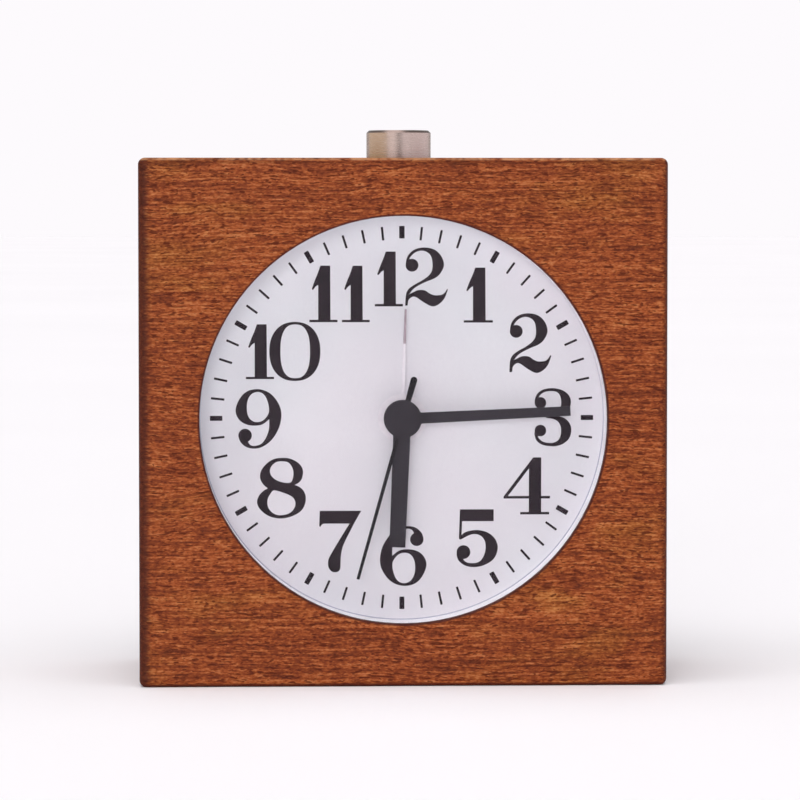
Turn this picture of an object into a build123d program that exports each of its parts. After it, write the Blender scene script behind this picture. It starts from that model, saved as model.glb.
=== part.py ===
from build123d import *
import math
import os

# Wooden desk clock: a square block of wood with a round front opening, a one-cell quartz alarm
# movement behind a recessed dial, and a round metal snooze button on the top.
# Millimetres. +Z up, the front faces -Y, +X is to the right seen from the front.
# Origin: centre of the flat base. Hands turn clockwise from the front = positive about +Y.

# ---------------------------------------------------------------- driving dimensions
CASE_W, CASE_H, CASE_D = 85.0, 85.0, 42.0    # block of wood
CASE_EDGE_R = 1.1                            # rounding of its edges
DIAL_Z = 42.9                                # height of the dial axis
LIP_R, LIP_T = 32.8, 1.5                     # front opening in the wood and its lip
BORE_R = 35.5                                # chamber bored from the back
STACK_R = 35.2                               # lens, ring, dial and front plate
LENS_T = 1.5
RING_IN_R = 32.9                             # white inner wall
DIAL_FACE_Y = -13.0                          # printed face of the dial, 8 mm behind the wood's face
DIAL_T = 0.5

BACK_SQ, BACK_SQ_R = 74.0, 4.0               # back cover
BACK_Y0, BACK_Y1 = 18.6, 20.6
POCKET_SQ, POCKET_R = 74.4, 4.2

SHELL = 50.0                                 # movement housing, square
SHELL_T = 1.4
PLATE_Y0, PLATE_Y1 = -12.5, -11.0            # front plate
MID_Y0, MID_Y1 = -6.7, -5.9                  # middle plate
REAR_Y0, REAR_Y1 = 1.5, 2.7                  # rear wall of the movement

# hands: angles are clockwise from 12 at rest
HOUR_ANG, MIN_ANG, SEC_ANG, ALARM_ANG = 182.3, 87.4, 195.7, 1.8
HOUR_L, HOUR_W0, HOUR_W1 = 20.9, 2.8, 2.58
MIN_L, MIN_W0, MIN_W1 = 27.2, 1.82, 1.52
SEC_L, SEC_W, SEC_TAIL, SEC_TW0, SEC_TW1 = 26.9, 0.50, 7.1, 0.72, 1.08
ALARM_L, ALARM_W0, ALARM_W1 = 17.7, 0.60, 0.34
HUB_R, ALARM_HUB_R = 3.04, 3.94
Y_ALARM, Y_HOUR, Y_MIN, Y_SEC = -14.5, -15.4, -16.4, -17.2   # front faces of the hands
T_HAND, T_SEC = 0.4, 0.3

# coaxial arbors: outer radius and bore, 0.05 to 0.08 running clearance between them
R_SEC, R_MIN_B, R_MIN = 0.35, 0.40, 0.85
R_HOUR_B, R_HOUR, R_AL_B, R_AL = 0.92, 1.50, 1.58, 2.20
CLR = 0.07

# gears: teeth and modules
M_MOTION, M_HOUR, M_ALARM = 0.35, 0.336, 0.30
N_CANNON, N_REV, N_REVP, N_HOURW = 12, 36, 10, 40
N_ALARMW, N_ALARMP = 48, 12
M_SEC2THIRD, M_THIRD2CEN, M_STEP = 6.84 / 34.0, 0.19, 0.20
N_SECP, N_THIRDW, N_THIRDP, N_CENTREW = 8, 60, 8, 64
N_ROTP, N_INTW, N_INTP, N_SECW = 8, 40, 10, 60

A_SET = M_MOTION * (N_CANNON + N_REV) / 2          # 8.4 setting arbor from the dial axis
A_ALM = M_ALARM * (N_ALARMW + N_ALARMP) / 2        # 9.0
A_THIRD = 6.84
A_INT = M_STEP * (N_INTP + N_SECW) / 2             # 7.0
A_ROT = M_STEP * (N_ROTP + N_INTW) / 2             # 4.8
KNOB_Z = 5.0
SET_X = math.sqrt(A_SET ** 2 - KNOB_Z ** 2)
ALM_X = -math.sqrt(A_ALM ** 2 - KNOB_Z ** 2)
THIRD_DIR, INT_DIR, ROT_DIR = 215.0, 290.0, 270.0
THIRD = (A_THIRD * math.cos(math.radians(THIRD_DIR)), A_THIRD * math.sin(math.radians(THIRD_DIR)))
INTER = (A_INT * math.cos(math.radians(INT_DIR)), A_INT * math.sin(math.radians(INT_DIR)))
ROTOR = (INTER[0] + A_ROT * math.cos(math.radians(ROT_DIR)), INTER[1] + A_ROT * math.sin(math.radians(ROT_DIR)))
KNOB_R = 5.6

# snooze button
CAP_R, CAP_Z0, CAP_Z1 = 5.3, 82.9, 89.7
WELL_R, WELL_Z = 5.55, 80.5
STEM_R, STEM_Z0, STEM_Z1 = 2.0, 75.5, 87.9
BUSH_R, BUSH_BORE, BUSH_Z0, BUSH_FL_R, BUSH_FL_T = 3.2, 2.06, 77.2, 5.0, 0.7
BUTTON_TRAVEL = 1.5

# battery bay
CELL_R, CELL_L = 7.25, 50.5
CELL_Y, CELL_Z = 11.1, -13.5
BAY_X, BAY_Z0, BAY_Z1, BAY_Y0, BAY_T = 27.4, -21.1, -5.9, 3.6, 0.8
HINGE_Y, HINGE_Z, DOOR_T = 19.82, -21.9, 1.55

os.makedirs("parts", exist_ok=True)


# ---------------------------------------------------------------- helpers (z is measured from the dial axis)
def cyl(x, z, r, y0, y1):
    return Pos(x, (y0 + y1) / 2, DIAL_Z + z) * (Rot(90, 0, 0) * Cylinder(r, abs(y1 - y0)))


def ring(x, z, ro, ri, y0, y1):
    return cyl(x, z, ro, y0, y1) - cyl(x, z, ri, y0 - 1, y1 + 1)


def bx(x0, x1, y0, y1, z0, z1):
    return Pos((x0 + x1) / 2, (y0 + y1) / 2, DIAL_Z + (z0 + z1) / 2) * Box(x1 - x0, y1 - y0, z1 - z0)


def zcyl(x, y, r, z0, z1):
    return Pos(x, y, (z0 + z1) / 2) * Cylinder(r, z1 - z0)


def xcyl(y, z, r, x0, x1):
    return Pos((x0 + x1) / 2, y, DIAL_Z + z) * (Rot(0, 90, 0) * Cylinder(r, x1 - x0))


def plate_y(points, y0, y1):
    """Closed outline of (x, z from the dial axis) carried from y0 to y1."""
    wire = Polyline(*[(x, y0, DIAL_Z + z) for x, z in points], close=True)
    return extrude(make_face(wire), amount=y1 - y0, dir=(0, 1, 0))


def rounded_sq(side, r, y0, y1):
    face = Plane.XZ * RectangleRounded(side, side, r)
    return Pos(0, y0, DIAL_Z) * extrude(face, amount=y1 - y0, dir=(0, 1, 0))


def polar(r, a):
    return (r * math.cos(a), r * math.sin(a))


def gear_outline(n, m, wheel):
    """One tooth centred on angle 0, as (radius, half angle) pairs from root to tip."""
    rp = m * n / 2
    if wheel:
        alpha = math.radians(20.0)
        rb = rp * math.cos(alpha)
        add, ded, share = 0.72 * m, 1.20 * m, 0.43
        inv = math.tan(alpha) - alpha
        half = math.pi * share / n
        rows = []
        for r in (rp - ded, rp - 0.45 * m, rp, rp + 0.40 * m, rp + add):
            rr = max(r, rb)
            t = math.acos(min(1.0, rb / rr))
            rows.append((r, half + inv - (math.tan(t) - t)))
        return rows
    ded = 1.12 * m
    half = math.pi * 0.33 / n
    return [(rp - ded, half * 0.98), (rp, half), (rp + 0.22 * m, half * 0.72), (rp + 0.42 * m, half * 0.34)]


def gear(n, m, x, z, y0, y1, tooth_dir, wheel=True, bore=None):
    """Spur gear with one tooth centred on the direction tooth_dir (degrees, from +X towards +Z)."""
    rows = gear_outline(n, m, wheel)
    pts = []
    for k in range(n):
        a = math.radians(tooth_dir) + 2 * math.pi * k / n
        pts += [polar(r, a - h) for r, h in rows]
        pts += [polar(r, a + h) for r, h in reversed(rows)]
    body = plate_y([(x + u, z + v) for u, v in pts], y0, y1)
    if bore:
        body -= cyl(x, z, bore, y0 - 1, y1 + 1)
    return body


def facing_gap(line_dir, n):
    """Tooth direction that puts a gap on the direction line_dir."""
    return line_dir + 180.0 / n


def spokes(x, z, r_in, r_out, y0, y1, count, bar):
    """Windows between straight arms, to lighten a wheel."""
    cut = ring(x, z, r_out, r_in, y0 - 0.5, y1 + 0.5)
    for k in range(count):
        a = 180.0 * k / count
        arm = Box(2 * r_out + 1, y1 - y0 + 3, bar)
        cut -= Pos(x, (y0 + y1) / 2, DIAL_Z + z) * (Rot(0, a, 0) * arm)
    return cut


def hand(ang, length, w0, w1, y_front, t, hub_r, bore, tail=0.0, tw0=0.0, tw1=0.0):
    """Flat hand pointing at ang degrees clockwise from 12, with a round hub."""
    pts = [(-w0 / 2, 0.0), (-w1 / 2, length), (w1 / 2, length), (w0 / 2, 0.0)]
    shape = plate_y(pts, y_front, y_front + t)
    if tail:
        e = tail - tw1 / 2
        shape += plate_y([(-tw0 / 2, 0.0), (tw0 / 2, 0.0), (tw1 / 2, -e), (-tw1 / 2, -e)], y_front, y_front + t)
        shape += cyl(0, -e, tw1 / 2, y_front, y_front + t)
    shape += cyl(0, 0, hub_r, y_front, y_front + t)
    shape -= cyl(0, 0, bore, y_front - 1, y_front + t + 1)
    return Pos(0, 0, DIAL_Z) * (Rot(0, ang, 0) * (Pos(0, 0, -DIAL_Z) * shape))


parts = {}

# ---------------------------------------------------------------- wooden case
case = Pos(0, 0, CASE_H / 2) * Box(CASE_W, CASE_D, CASE_H)
case = fillet(case.edges(), CASE_EDGE_R)
case -= cyl(0, 0, LIP_R, -CASE_D / 2 - 1, -CASE_D / 2 + LIP_T + 0.1)
case -= cyl(0, 0, BORE_R, -CASE_D / 2 + LIP_T, CASE_D / 2 + 1)
case -= rounded_sq(POCKET_SQ, POCKET_R, BACK_Y0, CASE_D / 2 + 1)
front_rim = [e for e in case.edges().filter_by(GeomType.CIRCLE)
             if abs(e.radius - LIP_R) < 0.01 and abs(e.center().Y + CASE_D / 2) < 0.01]
case = fillet(front_rim, 0.3)
SCREW_P = 33.2
for sx in (-1, 1):
    for sz in (-1, 1):
        case -= cyl(sx * SCREW_P, sz * SCREW_P, 1.0, 9.5, BACK_Y0 + 1)
case -= zcyl(0, 0, WELL_R, WELL_Z, CASE_H + 1)
case -= zcyl(0, 0, BUSH_R, 70.0, WELL_Z + 0.1)
parts["wooden_case"] = case

# ---------------------------------------------------------------- lens, white ring, dial
Y_LENS0 = -CASE_D / 2 + LIP_T
Y_LENS1 = Y_LENS0 + LENS_T
parts["lens"] = cyl(0, 0, STACK_R, Y_LENS0, Y_LENS1)
parts["dial_ring"] = ring(0, 0, STACK_R, RING_IN_R, Y_LENS1, DIAL_FACE_Y)
parts["dial"] = ring(0, 0, STACK_R, 3.0, DIAL_FACE_Y, DIAL_FACE_Y + DIAL_T)

# ---------------------------------------------------------------- hands
parts["hour_hand"] = hand(HOUR_ANG, HOUR_L, HOUR_W0, HOUR_W1, Y_HOUR, T_HAND, HUB_R, R_HOUR)
parts["minute_hand"] = hand(MIN_ANG, MIN_L, MIN_W0, MIN_W1, Y_MIN, T_HAND, HUB_R, R_MIN)
# the second hand's round hub covers the hubs behind it, so the front shows one plain disc
sec = hand(SEC_ANG, SEC_L, SEC_W + 0.1, SEC_W, Y_SEC, T_SEC, HUB_R, R_SEC, SEC_TAIL, SEC_TW0, SEC_TW1)
sec += ring(0, 0, 0.8, R_SEC, Y_SEC, Y_SEC + 0.6)
sec += cyl(0, 0, HUB_R, Y_SEC - 0.1, Y_SEC)
parts["second_hand"] = sec
parts["alarm_hand"] = hand(ALARM_ANG, ALARM_L, ALARM_W0, ALARM_W1, Y_ALARM, T_HAND, ALARM_HUB_R, R_AL)

# ---------------------------------------------------------------- gears on the dial axis
# alarm wheel and pipe
AW_Y0, AW_Y1 = -10.7, -9.9
alarm_dir = math.degrees(math.atan2(KNOB_Z, ALM_X))
aw = gear(N_ALARMW, M_ALARM, 0, 0, AW_Y0, AW_Y1, alarm_dir, True)
aw -= spokes(0, 0, 3.0, 6.0, AW_Y0, AW_Y1, 2, 1.2)
aw += cyl(0, 0, R_AL, Y_ALARM, AW_Y1)
aw -= cyl(0, 0, R_AL_B, -20, 0)
parts["alarm_wheel"] = aw

# hour wheel and pipe
HW_Y0, HW_Y1 = -9.5, -8.7
set_dir = math.degrees(math.atan2(KNOB_Z, SET_X))
hw = gear(N_HOURW, M_HOUR, 0, 0, HW_Y0, HW_Y1, set_dir, True)
hw -= spokes(0, 0, 2.6, 5.6, HW_Y0, HW_Y1, 2, 1.2)
hw += cyl(0, 0, R_HOUR, Y_HOUR, HW_Y1)
hw -= cyl(0, 0, R_HOUR_B, -20, 0)
parts["hour_wheel"] = hw

# cannon pinion: minute pipe with 12 teeth, its tail slips in the centre wheel
CP_Y0, CP_Y1 = -8.2, -7.0
cp = gear(N_CANNON, M_MOTION, 0, 0, CP_Y0, CP_Y1, set_dir, False)
cp += cyl(0, 0, R_MIN, Y_MIN, -4.5)
cp -= cyl(0, 0, R_MIN_B, -20, 0)
parts["cannon_pinion"] = cp

# centre wheel
CW_Y0, CW_Y1 = -5.5, -4.7
cw = gear(N_CENTREW, M_THIRD2CEN, 0, 0, CW_Y0, CW_Y1, THIRD_DIR, True)
cw -= spokes(0, 0, 2.0, 5.0, CW_Y0, CW_Y1, 2, 1.0)
cw -= cyl(0, 0, R_MIN + 0.05, -20, 0)
parts["centre_wheel"] = cw

# seconds arbor with its pinion, and the seconds wheel pressed on it
SP_Y0, SP_Y1 = -4.3, -3.3
sa = gear(N_SECP, M_SEC2THIRD, 0, 0, SP_Y0, SP_Y1, THIRD_DIR, False)
sa += cyl(0, 0, R_SEC, Y_SEC, 1.95)
sa += cyl(0, 0, 0.55, SP_Y1, -2.2)
parts["seconds_arbor"] = sa
SW_Y0, SW_Y1 = -2.9, -2.3
parts["seconds_wheel"] = gear(N_SECW, M_STEP, 0, 0, SW_Y0, SW_Y1, INT_DIR, True, 0.55)

# ---------------------------------------------------------------- minute (reversing) wheel on the setting arbor
rv = gear(N_REVP, M_HOUR, SET_X, KNOB_Z, -9.7, -8.5, facing_gap(set_dir + 180, N_REVP), False)
rv += gear(N_REV, M_MOTION, SET_X, KNOB_Z, -8.0, -7.2, facing_gap(set_dir + 180, N_REV), True)
rv += cyl(SET_X, KNOB_Z, 1.3, -8.5, -8.0)
rv += cyl(SET_X, KNOB_Z, 0.5, -11.6, -9.7)
rv += cyl(SET_X, KNOB_Z, 0.8, -8.5, 18.6)
parts["minute_wheel"] = rv

# alarm setting arbor with its pinion
al = gear(N_ALARMP, M_ALARM, ALM_X, KNOB_Z, -10.9, -9.7, facing_gap(alarm_dir + 180, N_ALARMP), False)
al += cyl(ALM_X, KNOB_Z, 0.5, -11.6, -10.9)
al += cyl(ALM_X, KNOB_Z, 0.8, -9.7, 18.6)
parts["alarm_setting_arbor"] = al

# ---------------------------------------------------------------- third wheel, intermediate wheel, rotor
tw = gear(N_THIRDP, M_THIRD2CEN, THIRD[0], THIRD[1], -5.7, -4.5, facing_gap(THIRD_DIR + 180, N_THIRDP), False)
tw += gear(N_THIRDW, M_SEC2THIRD, THIRD[0], THIRD[1], -4.1, -3.5, facing_gap(THIRD_DIR + 180, N_THIRDW), True)
tw += cyl(THIRD[0], THIRD[1], 0.4, -6.6, 1.95)
parts["third_wheel"] = tw

iw = gear(N_INTP, M_STEP, INTER[0], INTER[1], -3.1, -2.1, facing_gap(INT_DIR + 180, N_INTP), False)
iw += gear(N_INTW, M_STEP, INTER[0], INTER[1], -1.7, -1.1, ROT_DIR, True)
iw += cyl(INTER[0], INTER[1], 0.4, -6.6, 1.95)
parts["intermediate_wheel"] = iw

rp = gear(N_ROTP, M_STEP, ROTOR[0], ROTOR[1], -1.9, -0.9, facing_gap(ROT_DIR + 180, N_ROTP), False)
rp += cyl(ROTOR[0], ROTOR[1], 0.4, -6.6, 1.95)
parts["rotor_pinion"] = rp
parts["rotor_magnet"] = ring(ROTOR[0], ROTOR[1], 2.1, 0.4, -3.7, -2.1)

# ---------------------------------------------------------------- stepping motor: stator, core, bobbin, winding
ST_X0, ST_X1 = ROTOR[0] - 11.0, ROTOR[0] + 11.0
ST_Y0, ST_Y1 = -3.2, -2.4
st = bx(ST_X0, ST_X1, ST_Y0, ST_Y1, ROTOR[1] - 4.0, ROTOR[1] + 4.0)
st += bx(ST_X0, ST_X0 + 3.0, ST_Y0, ST_Y1, -20.5, ROTOR[1])
st += bx(ST_X1 - 3.0, ST_X1, ST_Y0, ST_Y1, -20.5, ROTOR[1])
st -= cyl(ROTOR[0], ROTOR[1], 2.5, ST_Y0 - 1, ST_Y1 + 1)
st -= cyl(INTER[0], INTER[1], 1.7, ST_Y0 - 1, ST_Y1 + 1)
parts["stator"] = st
parts["coil_core"] = bx(ST_X0, ST_X1, ST_Y1, ST_Y1 + 0.8, -20.5, -17.5)
COIL_Y, COIL_Z = ST_Y1 + 0.4, -19.0
bob = xcyl(COIL_Y, COIL_Z, 2.8, ST_X0 + 4.0, ST_X0 + 4.8) + xcyl(COIL_Y, COIL_Z, 2.8, ST_X1 - 4.8, ST_X1 - 4.0)
bob += xcyl(COIL_Y, COIL_Z, 1.75, ST_X0 + 4.0, ST_X1 - 4.0)
bob -= bx(ST_X0 - 1, ST_X1 + 1, ST_Y1, ST_Y1 + 0.8, -20.5, -17.5)
parts["coil_bobbin"] = bob
parts["coil_winding"] = (xcyl(COIL_Y, COIL_Z, 2.55, ST_X0 + 4.8, ST_X1 - 4.8)
                         - xcyl(COIL_Y, COIL_Z, 1.75, ST_X0 + 4.0, ST_X1 - 4.0))

# ---------------------------------------------------------------- movement housing
half = SHELL / 2
inner = half - SHELL_T
BOSS = 22.0
fp = cyl(0, 0, STACK_R, PLATE_Y0, PLATE_Y1)
skirt = bx(-half, half, PLATE_Y1, MID_Y0, -half, half) - bx(-inner, inner, PLATE_Y1 - 1, MID_Y0 + 1, -inner, inner)
fp += skirt
for sx in (-1, 1):
    for sz in (-1, 1):
        fp += cyl(sx * BOSS, sz * BOSS, 1.9, PLATE_Y1, MID_Y0)
        fp -= cyl(sx * BOSS, sz * BOSS, 0.8, PLATE_Y1 + 0.4, MID_Y0 + 1)
fp -= cyl(0, 0, R_AL + CLR, PLATE_Y0 - 1, PLATE_Y1 + 1)
fp -= cyl(SET_X, KNOB_Z, 0.5 + CLR, -11.75, PLATE_Y1 + 1)
fp -= cyl(ALM_X, KNOB_Z, 0.5 + CLR, -11.75, PLATE_Y1 + 1)
parts["movement_front_plate"] = fp

mp = bx(-half, half, MID_Y0, MID_Y1, -half, half)
mp -= cyl(0, 0, R_MIN + CLR, MID_Y0 - 1, MID_Y1 + 1)
mp -= cyl(SET_X, KNOB_Z, 0.8 + CLR, MID_Y0 - 1, MID_Y1 + 1)
mp -= cyl(ALM_X, KNOB_Z, 0.8 + CLR, MID_Y0 - 1, MID_Y1 + 1)
for c in (THIRD, INTER, ROTOR):
    mp -= cyl(c[0], c[1], 0.4 + CLR, MID_Y0 - 1, MID_Y1 + 1)
for sx in (-1, 1):
    for sz in (-1, 1):
        mp -= cyl(sx * BOSS, sz * BOSS, 0.95, MID_Y0 - 1, MID_Y1 + 1)
parts["movement_middle_plate"] = mp

rc = bx(-half, half, MID_Y1, REAR_Y1, -half, half) - bx(-inner, inner, MID_Y1 - 1, REAR_Y0, -inner, inner)
for sx in (-1, 1):
    for sz in (-1, 1):
        rc += cyl(sx * BOSS, sz * BOSS, 2.3, MID_Y1, REAR_Y0)
        rc -= cyl(sx * BOSS, sz * BOSS, 0.95, MID_Y1 - 1, REAR_Y1 + 1)
        rc -= cyl(sx * BOSS, sz * BOSS, 1.8, REAR_Y1 - 1.1, REAR_Y1 + 1)
# ledges that hold the circuit board, and the coil's rest
for x0, x1 in ((-inner, -20.2), (20.2, inner)):
    rc += bx(x0, x1, 0.4, REAR_Y0, 8.0, 19.5)
rc -= cyl(SET_X, KNOB_Z, 0.8 + CLR, 0, REAR_Y1 + 1)
rc -= cyl(ALM_X, KNOB_Z, 0.8 + CLR, 0, REAR_Y1 + 1)
rc -= cyl(0, 0, R_SEC + CLR, 0, 2.15)
for c in (THIRD, INTER, ROTOR):
    rc -= cyl(c[0], c[1], 0.4 + CLR, 0, 2.15)
parts["movement_rear_cover"] = rc


def screw(x, z, head_y, head_r, head_t, shank_r, length, cross):
    """Pan-head screw driven from the back towards the front."""
    s = cyl(x, z, head_r, head_y - head_t, head_y)
    s = fillet([e for e in s.edges() if abs(e.center().Y - head_y) < 0.01], head_t * 0.45)
    s += cyl(x, z, shank_r, head_y - head_t - length, head_y - head_t)
    s -= bx(x - cross, x + cross, head_y - head_t * 0.55, head_y + 1, z - 0.22, z + 0.22)
    s -= bx(x - 0.22, x + 0.22, head_y - head_t * 0.55, head_y + 1, z - cross, z + cross)
    return s


corners = [(-1, -1), (1, -1), (1, 1), (-1, 1)]
parts["movement_screws"] = Compound(children=[screw(sx * BOSS, sz * BOSS, REAR_Y1 - 0.1, 1.7, 1.0, 0.8, 12.0, 1.1)
                                              for sx, sz in corners])

# ---------------------------------------------------------------- electronics
pcb = bx(-22.0, 22.0, -0.4, 0.4, 8.0, 19.5)
pcb -= bx(-23, -20.2, -1, 1, 14.0, 20.0)
parts["circuit_board"] = pcb
parts["clock_chip"] = cyl(6.0, 14.0, 2.6, 0.4, 1.2)
parts["quartz_crystal"] = xcyl(-1.5, 15.5, 1.1, -12.0, -5.5)
parts["alarm_contact_spring"] = bx(-21.0, -4.0, -8.48, -8.33, -1.2, 1.2) + bx(-21.0, -18.6, -8.33, MID_Y0, -1.2, 1.2)

# ---------------------------------------------------------------- snooze button
cap = zcyl(0, 0, CAP_R, CAP_Z0, CAP_Z1)
top_edge = [e for e in cap.edges() if abs(e.center().Z - CAP_Z1) < 0.01]
cap = chamfer(top_edge, 0.4)
cap -= zcyl(0, 0, 4.2, CAP_Z0 - 1, 87.5) - zcyl(0, 0, 2.75, CAP_Z0 - 2, 88)
cap -= zcyl(0, 0, STEM_R, CAP_Z0 - 1, STEM_Z1)
parts["snooze_button_cap"] = cap
stem = zcyl(0, 0, STEM_R, STEM_Z0, STEM_Z1) - (zcyl(0, 0, 3, 76.55, 77.1) - zcyl(0, 0, 1.5, 76, 78))
parts["snooze_button_stem"] = stem
clip = zcyl(0, 0, 3.1, 76.6, 77.05) - zcyl(0, 0, 1.5, 76, 78) - Pos(0, 2.5, 76.8) * Box(2.2, 3.4, 2)
parts["stem_clip"] = clip
bush = zcyl(0, 0, BUSH_R, BUSH_Z0, WELL_Z) + zcyl(0, 0, BUSH_FL_R, WELL_Z, WELL_Z + BUSH_FL_T)
bush -= zcyl(0, 0, BUSH_BORE, 70, 90)
parts["button_bush"] = bush
SPR_Z0, SPR_Z1, SPR_TURNS = WELL_Z + BUSH_FL_T + 0.24, 87.5 - 0.24, 4.0
helix = Pos(0, 0, SPR_Z0) * Helix(pitch=(SPR_Z1 - SPR_Z0) / SPR_TURNS, height=SPR_Z1 - SPR_Z0, radius=3.45)
wire = (helix ^ 0) * Circle(0.22)
parts["button_spring"] = sweep(wire, path=helix, is_frenet=True)

SW_Z0 = DIAL_Z + half
sw = Pos(0, 0, SW_Z0 + 2.5) * Box(5.8, 5.4, 5.0)
sw -= zcyl(0, 0, 1.27, SW_Z0 + 1.0, SW_Z0 + 6)
parts["snooze_switch_body"] = sw
parts["snooze_switch_plunger"] = zcyl(0, 0, 1.2, SW_Z0 + 2.8, STEM_Z0)

# ---------------------------------------------------------------- back cover with battery bay and knob recess
bc = rounded_sq(BACK_SQ, BACK_SQ_R, BACK_Y0, BACK_Y1)
bc = fillet([e for e in bc.edges() if abs(e.center().Y - BACK_Y1) < 0.01], 0.5)
tub = bx(-BAY_X - BAY_T, BAY_X + BAY_T, BAY_Y0 - BAY_T, BACK_Y0, BAY_Z0 - BAY_T, BAY_Z1 + BAY_T)
tub &= cyl(0, 0, 35.3, 0, 30)
bc += tub
REC_R, REC_Y = 8.6, 15.0


def stadium(r, y0, y1):
    s = cyl(SET_X, KNOB_Z, r, y0, y1) + cyl(ALM_X, KNOB_Z, r, y0, y1)
    return s + bx(ALM_X, SET_X, y0, y1, KNOB_Z - r, KNOB_Z + r)


bc += stadium(REC_R + 0.9, REC_Y, BACK_Y0)
bc -= stadium(REC_R, REC_Y + 1.0, BACK_Y1 + 1)
bc -= bx(-BAY_X, BAY_X, BAY_Y0, BACK_Y1 + 1, BAY_Z0, BAY_Z1)
bc -= bx(-28.4, 28.4, 19.0, BACK_Y1 + 1, -22.9, -5.7)
bc -= xcyl(HINGE_Y, HINGE_Z, 0.67, -29.4, 29.4)
bc -= cyl(SET_X, KNOB_Z, 1.0, REC_Y - 1, BACK_Y1)
bc -= cyl(ALM_X, KNOB_Z, 1.0, REC_Y - 1, BACK_Y1)
for sx, sz in corners:
    bc -= cyl(sx * SCREW_P, sz * SCREW_P, 1.2, 17, 22)
    bc -= cyl(sx * SCREW_P, sz * SCREW_P, 2.5, 19.4, 22)
POSTS = [(-30.5, 3.0), (30.5, 3.0), (-13.0, 28.8), (13.0, 28.8), (0.0, -31.0)]
for px, pz in POSTS:
    bc += cyl(px, pz, 2.0, PLATE_Y1, BACK_Y0)
# buzzer collar and sound holes
BUZ = (0.0, 23.6)
bc += ring(BUZ[0], BUZ[1], 10.0, 9.1, 16.9, BACK_Y0)
bc -= cyl(BUZ[0], BUZ[1], 0.9, 17, 22)
for k in range(6):
    u, v = polar(4.0, math.radians(60 * k + 30))
    bc -= cyl(BUZ[0] + u, BUZ[1] + v, 0.9, 17, 22)
# slot of the alarm on/off slide
bc -= bx(22.8, 25.2, 17, 22, 5.0, 13.0)
parts["back_cover"] = bc
parts["back_screws"] = Compound(children=[screw(sx * SCREW_P, sz * SCREW_P, 20.5, 2.15, 1.1, 1.0, 8.8, 1.35)
                                          for sx, sz in corners])
parts["buzzer_disc"] = cyl(BUZ[0], BUZ[1], 9.1, 17.5, 17.9)

# battery door on two trunnions at its lower edge
door = bx(-28.1, 28.1, HINGE_Y - DOOR_T / 2, HINGE_Y + DOOR_T / 2, HINGE_Z, -6.0)
door += xcyl(HINGE_Y, HINGE_Z, DOOR_T / 2, -28.1, 28.1)
door += xcyl(HINGE_Y, HINGE_Z, 0.6, -28.9, 28.9)
door -= cyl(0, -5.2, 4.2, HINGE_Y - 0.1, 22)
for k in range(5):
    zz = -11.6 - 1.5 * k
    door -= bx(-5.0, 5.0, HINGE_Y + DOOR_T / 2 - 0.35, 22, zz, zz + 0.6)
parts["battery_door"] = door

# ---------------------------------------------------------------- battery and its contacts
CELL_X1 = 27.0
cell = xcyl(CELL_Y, CELL_Z, CELL_R, CELL_X1 - CELL_L, CELL_X1 - 1.0)
cell = fillet([e for e in cell.edges().filter_by(GeomType.CIRCLE)], 0.7)
cell += xcyl(CELL_Y, CELL_Z, 2.7, CELL_X1 - 1.0, CELL_X1)
parts["battery"] = cell
parts["battery_contact_positive"] = bx(CELL_X1, BAY_X, CELL_Y - 4, CELL_Y + 4, CELL_Z - 5, CELL_Z + 5)
parts["battery_contact_negative"] = bx(-BAY_X, -27.0, CELL_Y - 4, CELL_Y + 4, CELL_Z - 5, CELL_Z + 5)
NEG_X0, NEG_X1 = -27.0 + 0.25, CELL_X1 - CELL_L - 0.25
coil = Helix(pitch=(NEG_X1 - NEG_X0) / 3, height=NEG_X1 - NEG_X0, radius=3.4, cone_angle=-25)
coil_wire = sweep((coil ^ 0) * Circle(0.25), path=coil, is_frenet=True)
parts["battery_spring"] = Pos(NEG_X0, CELL_Y, DIAL_Z + CELL_Z) * (Rot(0, 90, 0) * coil_wire)


# ---------------------------------------------------------------- setting knobs
def knob(x, z):
    """Ribbed knob with a domed rear face."""
    count = 24
    pts = []
    for k in range(count):
        a = 2 * math.pi * k / count
        for f, r in ((-0.30, KNOB_R), (0.0, KNOB_R), (0.28, KNOB_R - 0.05), (0.5, KNOB_R - 0.32)):
            pts.append(polar(r, a + f * 2 * math.pi / count))
    body = plate_y([(x + u, z + v) for u, v in pts], 16.5, 20.4)
    body &= cyl(x, z, KNOB_R + 1, 16.5, 20.4) - (ring(x, z, KNOB_R + 2, KNOB_R - 0.45, 20.0, 21.0))
    body -= cyl(x, z, KNOB_R - 1.5, 20.0, 21.0)
    body -= cyl(x, z, 0.8, 16.0, 18.6)
    return body


parts["time_set_knob"] = knob(SET_X, KNOB_Z)
parts["alarm_set_knob"] = knob(ALM_X, KNOB_Z)

# ---------------------------------------------------------------- alarm on/off slide switch
sb = bx(20.5, 27.5, 13.2, BACK_Y0, 2.5, 15.5) - bx(21.3, 26.7, 16.9, BACK_Y0 + 1, 1.5, 16.5)
parts["alarm_switch_body"] = sb
slide = bx(21.6, 26.4, 17.0, 18.4, 3.8, 9.8) + bx(22.95, 25.05, 18.4, 20.4, 5.3, 8.3)
for k in range(3):
    slide -= bx(22, 26, 20.1, 21, 5.75 + 0.9 * k, 6.05 + 0.9 * k)
parts["alarm_slide"] = slide

# ---------------------------------------------------------------- export
for name, shape in parts.items():
    export_step(shape, f"parts/{name}.step")
print(len(parts), "nodes")
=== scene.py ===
import math

import bpy
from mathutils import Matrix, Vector
from mathutils.geometry import tessellate_polygon


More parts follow.
